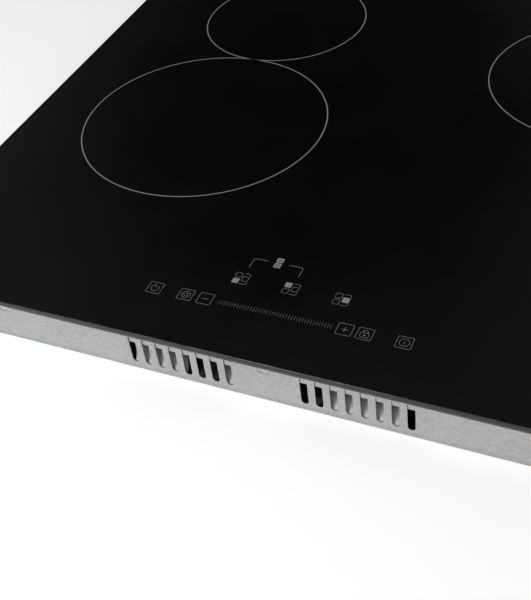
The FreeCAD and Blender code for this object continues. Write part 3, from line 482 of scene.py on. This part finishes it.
def draw_lock(drawing, x):
    """A padlock: its case, shackle and keyhole."""
    width, depth, foot, corner = 5.8, 4.4, 3.3, 1.0
    drawing.square(x - width / 2, KEY_MIDDLE - foot, width, depth, corner, LINE)
    shackle, lean = 1.8, 8
    drawing.arc(x, KEY_MIDDLE + 1.4, shackle, -lean, 180 + lean, LINE)
    keyhole, bold = 0.35, 0.5
    drawing.ring(x, KEY_MIDDLE - 1.1, keyhole, bold, 12)


def draw_power(drawing, x):
    """A ring with an upright bar in it."""
    radius, bar = 3.2, 1.4
    drawing.ring(x, KEY_MIDDLE, radius, LINE)
    drawing.stroke([(x, KEY_MIDDLE - bar), (x, KEY_MIDDLE + bar)], LINE)


def print_keys():
    """The six touch keys of the front row."""
    drawing = Print()
    keys = ((-87.9, draw_timer), (-64.5, draw_boost), (-50.0, draw_minus),
            (48.5, draw_plus), (62.0, draw_lock), (87.9, draw_power))
    for middle, draw in keys:
        key_frame(drawing, middle)
        draw(drawing, middle)
    drawing.piece("print_keys", "screen_print")


def print_slider():
    """The power slider: a row of short upright ticks."""
    drawing = Print()
    count, start, end, tick = 42, -39.9, 39.2, 3.7
    for k in range(count):
        x = start + (end - start) * k / (count - 1)
        drawing.stroke([(x, KEY_MIDDLE - tick / 2), (x, KEY_MIDDLE + tick / 2)], TICK)
    drawing.piece("print_slider", "screen_print")


def print_zone_keys():
    """The three zone keys: a small plan of the hob with its own zone filled in."""
    drawing = Print()
    size, low = 10.7, 64.7
    small, filled_corner, open_corner = 4.7, 0.5, 1.3
    edge, bend, steps = 0.1, 1.4, 6
    gap, stop, tail = 1.2, 1.6, 1.3
    parts = {
        "front": (0, 0, small, small),
        "rear": (0, size - small, small, small),
        "right": (size - small - 0.2, (size - small) / 2, small, small),
    }
    for left, own in ((-40.6, "front"), (-4.3, "rear"), (31.6, "right")):
        for part, (x, y, width, depth) in parts.items():
            corner, line = (filled_corner, None) if part == own else (open_corner, LINE)
            drawing.square(left + x, low + y, width, depth, corner, line)
        right = left + size - edge
        drawing.arc(right - bend, low + size - edge - bend, bend, 0, 90, LINE, steps)
        drawing.arc(right - bend, low + edge + bend, bend, 270, 360, LINE, steps)
        for y in (low + edge, low + size - edge):
            drawing.stroke([(left + small + gap, y), (left + size - stop, y)], LINE)
        for y in (low + stop, low + size - stop - tail):
            drawing.stroke([(right, y), (right, y + tail)], LINE)
    drawing.piece("print_zone_keys", "screen_print")


def print_bridge():
    """The bracket that joins two zone keys, with a chain link in its middle."""
    drawing = Print()
    line, corner, foot, top = 0.27, 1.6, 82.2, 91.8
    steps = 6
    angles = [math.pi / 2 * k / steps for k in range(steps + 1)]
    for side, outer, inner in ((-1, -34.9, -24.8), (1, 1.3, -9.2)):
        bend = [(outer - side * corner * (1 - math.cos(a)), top - corner + corner * math.sin(a))
                for a in angles]
        drawing.stroke([(outer, foot)] + bend + [(inner, top)], line)
    drawing.piece("print_bridge", "screen_print")
    tile = Print()
    left, width, depth, corner, band = -19.4, 5, 4.6, 0.6, 1.3
    core_width, core_depth, core_corner, right_by, up_by = 1.4, 1.3, 0.3, 1.8, 1.65
    for low in (86.9, 92.3):
        tile.square(left, low, width, depth, corner, band)
        tile.square(left + right_by, low + up_by, core_width, core_depth, core_corner)
    tile.piece("print_link", "screen_print")


def print_zone_rings():
    """A thin ring round each cooking zone."""
    drawing = Print()
    line, steps = 0.9, 180
    for zone, radius in (("front_left", 100), ("rear_left", 72.5), ("right", 90)):
        low, high = (Vector(corner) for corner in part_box("mica_disc_" + zone))
        middle = (low + high) / 2
        drawing.ring(middle.x / MM, (middle.y - FRONT) / MM, radius, line, steps)
    drawing.piece("print_zone_rings", "screen_print")


# ---- coils, springs and wires ----

def middle_of(node):
    """The middle of a CAD node's box, and its lowest and highest corners."""
    low, high = (Vector(corner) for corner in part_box(node))
    return (low + high) / 2, low, high


def make_winding(zone):
    """A flat spiral of litz wire, each turn touching the next."""
    middle, low, high = middle_of("winding_" + zone)
    wire = (high.z - low.z) / 2
    hole, spacing, turn_steps, sides = 20 * MM, 2.06, 56, 8
    inner, outer = hole + wire, high.x - middle.x - wire
    pitch = spacing * wire
    turns = (outer - inner) / pitch
    steps = int(turns * turn_steps)
    path = []
    for k in range(steps + 1):
        angle = 2 * math.pi * turns * k / steps
        r = inner + (outer - inner) * k / steps
        path.append(Vector((middle.x + r * math.cos(angle), middle.y + r * math.sin(angle), middle.z)))
    stock = Stock()
    stock.tube(path, wire * 0.99, sides)
    piece = stock.piece("litz_winding_" + zone, "copper", "coil_" + zone, smooth=True)
    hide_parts("winding_" + zone)


def helix(x, y, low, high, radius, wire, turns, steps=16):
    """The centre line of a spring that fills a height, with a flat turn at each end."""
    path, count = [], int((turns + 2) * steps)
    for k in range(count + 1):
        turn = k / steps
        rise = min(max(turn - 1, 0), turns) / turns
        angle = 2 * math.pi * turn
        path.append(Vector((x + radius * math.cos(angle), y + radius * math.sin(angle),
                            low + wire + rise * (high - low - 2 * wire))))
    return path


def islands(node):
    """The lowest and highest corners of each separate solid in a CAD node."""
    mesh = frame["nodes"][node].data
    spots = {}
    for v in mesh.vertices:
        spots.setdefault(tuple(round(c, 6) for c in v.co), len(spots))
    parent = list(range(len(spots)))

    def root(i):
        while parent[i] != i:
            parent[i] = parent[parent[i]]
            i = parent[i]
        return i

    index = [spots[tuple(round(c, 6) for c in v.co)] for v in mesh.vertices]
    for edge in mesh.edges:
        a, b = (root(index[v]) for v in edge.vertices)
        parent[a] = b
    groups = {}
    for v in mesh.vertices:
        groups.setdefault(root(index[v.index]), []).append(v.co)
    boxes = [(Vector([min(p[i] for p in points) for i in range(3)]),
              Vector([max(p[i] for p in points) for i in range(3)])) for points in groups.values()]
    return sorted(boxes, key=lambda box: tuple(box[0]))


def make_springs(node, name, wire, turns):
    """Round-wire springs in place of a node's sleeves."""
    stock = Stock()
    thin = wire / 2
    for low, high in islands(node):
        middle = (low + high) / 2
        coil = high.x - middle.x - thin
        stock.tube(helix(middle.x, middle.y, low.z, high.z, coil, thin, turns), thin, 6)
    piece = stock.piece(name, "spring_steel", smooth=True)
    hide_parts(node)
    return piece


def make_coil_springs(zone):
    """The springs under a coil, built at one length, though the real ones shorten as it is pressed down."""
    piece = make_springs("coil_springs_" + zone, "coil_spring_turns_" + zone, 1.0 * MM, 2.5)
    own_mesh(piece)


def make_leads(zone):
    """The two sleeved leads from a coil down to its board, built at one length, though the real ones shorten
    as it is pressed down.
    """
    stock = Stock()
    steps = 12
    for low, high in islands("coil_leads_" + zone):
        middle = (low + high) / 2
        path = [Vector((middle.x, middle.y, low.z + (high.z - low.z) * k / steps)) for k in range(steps + 1)]
        stock.tube(path, (high.x - low.x) / 2, 12)
    piece = stock.piece("lead_wires_" + zone, "wire_insulation", smooth=True)
    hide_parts("coil_leads_" + zone)
    middle, low, high = middle_of("coil_leads_" + zone)
    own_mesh(piece)


def make_chokes():
    """Ring cores wound with copper wire."""
    stock = Stock()
    wire, steps, sides = 0.75 * MM, 48, 14
    round_core = [2 * math.pi * k / steps for k in range(steps)]
    round_section = [2 * math.pi * k / sides for k in range(sides)]
    for low, high in islands("filter_chokes"):
        middle = (low + high) / 2
        section = (high.z - low.z) / 2
        ring = (high.x - low.x) / 2 - section
        core = [middle + Vector((ring * math.cos(a), ring * math.sin(a), 0)) for a in round_core]
        stock.tube(core, section - 2 * wire, sides, loop=True)
        turns = int(2 * math.pi * (ring - section) / (2.1 * wire))
        for k in range(turns):
            a = 2 * math.pi * k / turns
            out = Vector((math.cos(a), math.sin(a), 0))
            spokes = [math.cos(b) * out + Vector((0, 0, math.sin(b))) for b in round_section]
            loop = [middle + out * ring + (section - wire) * spoke for spoke in spokes]
            stock.tube(loop, wire * 0.95, 5, loop=True)
    piece = stock.piece("wound_chokes", "choke_winding", smooth=True)
    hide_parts("filter_chokes")


def make_board_parts(side):
    """Small surface-mounted parts scattered on a power board, clear of its large parts."""
    seed, sign = (7, -1) if side == "left" else (11, 1)
    rng = random.Random(seed)
    middle, low, high = middle_of("power_board_" + side)
    count, nearest, furthest, reach = 60, 112, 145, 0.45
    sizes = ((1.6, 0.8, 0.5), (2, 1.2, 0.6), (5, 4, 1.5), (3, 1.6, 1))
    corners = ((-1, -1), (1, -1), (1, 1), (-1, 1))
    stock = Stock()
    for _ in range(count):
        x = sign * rng.uniform(nearest, furthest) * MM
        y = middle.y + rng.uniform(-reach, reach) * (high.y - low.y)
        a, b, c = (rng.choice(sizes)[i] * MM / 2 for i in range(3))
        levels = ((1, 0), (1, c * 1.6), (0.9, c * 2))
        stock.rings([[(x + i * a * f, y + j * b * f, high.z + z) for i, j in corners] for f, z in levels])
    stock.piece("board_parts_" + side, "component_black")


# ---- floor, light and camera ----

def make_floor():
    """A wide pale floor, a hair below the casing's underside."""
    mesh = bpy.data.meshes.new("floor")
    reach, low = 30, -0.05 * MM
    mesh.from_pydata([(-reach, -reach, low), (reach, -reach, low), (reach, reach, low), (-reach, reach, low)],
                     [], [(0, 1, 2, 3)])
    floor = bpy.data.objects.new("floor", mesh)
    bpy.context.scene.collection.objects.link(floor)
    finish = Finish("floor", Roughness=0.9, Specular_IOR_Level=0.1)
    finish.set(Base_Color=finish.ramp(finish.noise(2, 2), 0.2, 0.8, 0.92, 0.94))
    mesh.materials.append(finish.material)


def make_world():
    """Even white light, dimmed in the part of the sky that the glass mirrors towards the camera."""
    world = bpy.data.worlds.new("studio")
    bpy.context.scene.world = world
    world.use_nodes = True
    tree = world.node_tree
    sky = tree.nodes.new("ShaderNodeTexCoord").outputs["Generated"]
    mirrored, strength = Vector((-0.34, 0.77, 0.54)).normalized(), 0.45
    tones = {0.5: 1, 0.8: 0.38, 0.955: 0.2, 0.975: 0.12, 0.987: 0.03, 0.994: 0.01}
    toward = tree.nodes.new("ShaderNodeVectorMath")
    toward.operation = "DOT_PRODUCT"
    toward.inputs[1].default_value = mirrored
    tree.links.new(sky, toward.inputs[0])
    ramp = tree.nodes.new("ShaderNodeValToRGB")
    for _ in range(len(tones) - 2):
        ramp.color_ramp.elements.new(0.5)
    for stop, (nearness, tone) in zip(ramp.color_ramp.elements, tones.items()):
        stop.position = nearness
        stop.color = (tone, tone, tone, 1)
    tree.links.new(toward.outputs["Value"], ramp.inputs[0])
    background = tree.nodes["Background"]
    tree.links.new(ramp.outputs[0], background.inputs["Color"])
    background.inputs["Strength"].default_value = strength


def make_light(name, place, aim, size, power):
    """A round soft light of a width in metres and a power in watts, turned to a point."""
    data = bpy.data.lights.new(name, "AREA")
    data.shape = "DISK"
    data.size = size
    data.energy = power
    light = bpy.data.objects.new(name, data)
    light.location = place
    light.rotation_euler = (Vector(aim) - Vector(place)).to_track_quat("-Z", "Y").to_euler()
    bpy.context.scene.collection.objects.link(light)


def make_camera():
    """A camera above and to the right of the hob's front, turned a little on its own axis."""
    data = bpy.data.cameras.new("camera")
    data.sensor_width = 36
    data.lens = 65.73
    data.shift_y = 0.0005
    data.clip_end = 50
    camera = bpy.data.objects.new("camera", data)
    place = (0.24815, -0.67375, 0.53672)
    right = Vector((0.91165, 0.39763, -0.10384))
    up = Vector((-0.19754, 0.64556, 0.73772))
    back = right.cross(up)
    turn = Matrix((right, up, back)).transposed().to_4x4()
    camera.matrix_world = Matrix.Translation(place) @ turn
    bpy.context.scene.collection.objects.link(camera)
    bpy.context.scene.camera = camera


dress_cad_nodes()
make_glass()
print_zone_rings()
print_keys()
print_slider()
print_zone_keys()
print_bridge()
for zone in ZONES:
    make_winding(zone)
    make_coil_springs(zone)
    make_leads(zone)
make_springs("touch_springs", "touch_spring_turns", 0.6 * MM, 3)
make_chokes()
for side in SIDES:
    make_board_parts(side)
make_floor()
make_world()
make_light("key", place=(-0.82, -1.62, 2.02), aim=(0, -0.2, 0), size=0.7, power=60)
make_camera()
bpy.context.scene.view_settings.view_transform = "Standard"
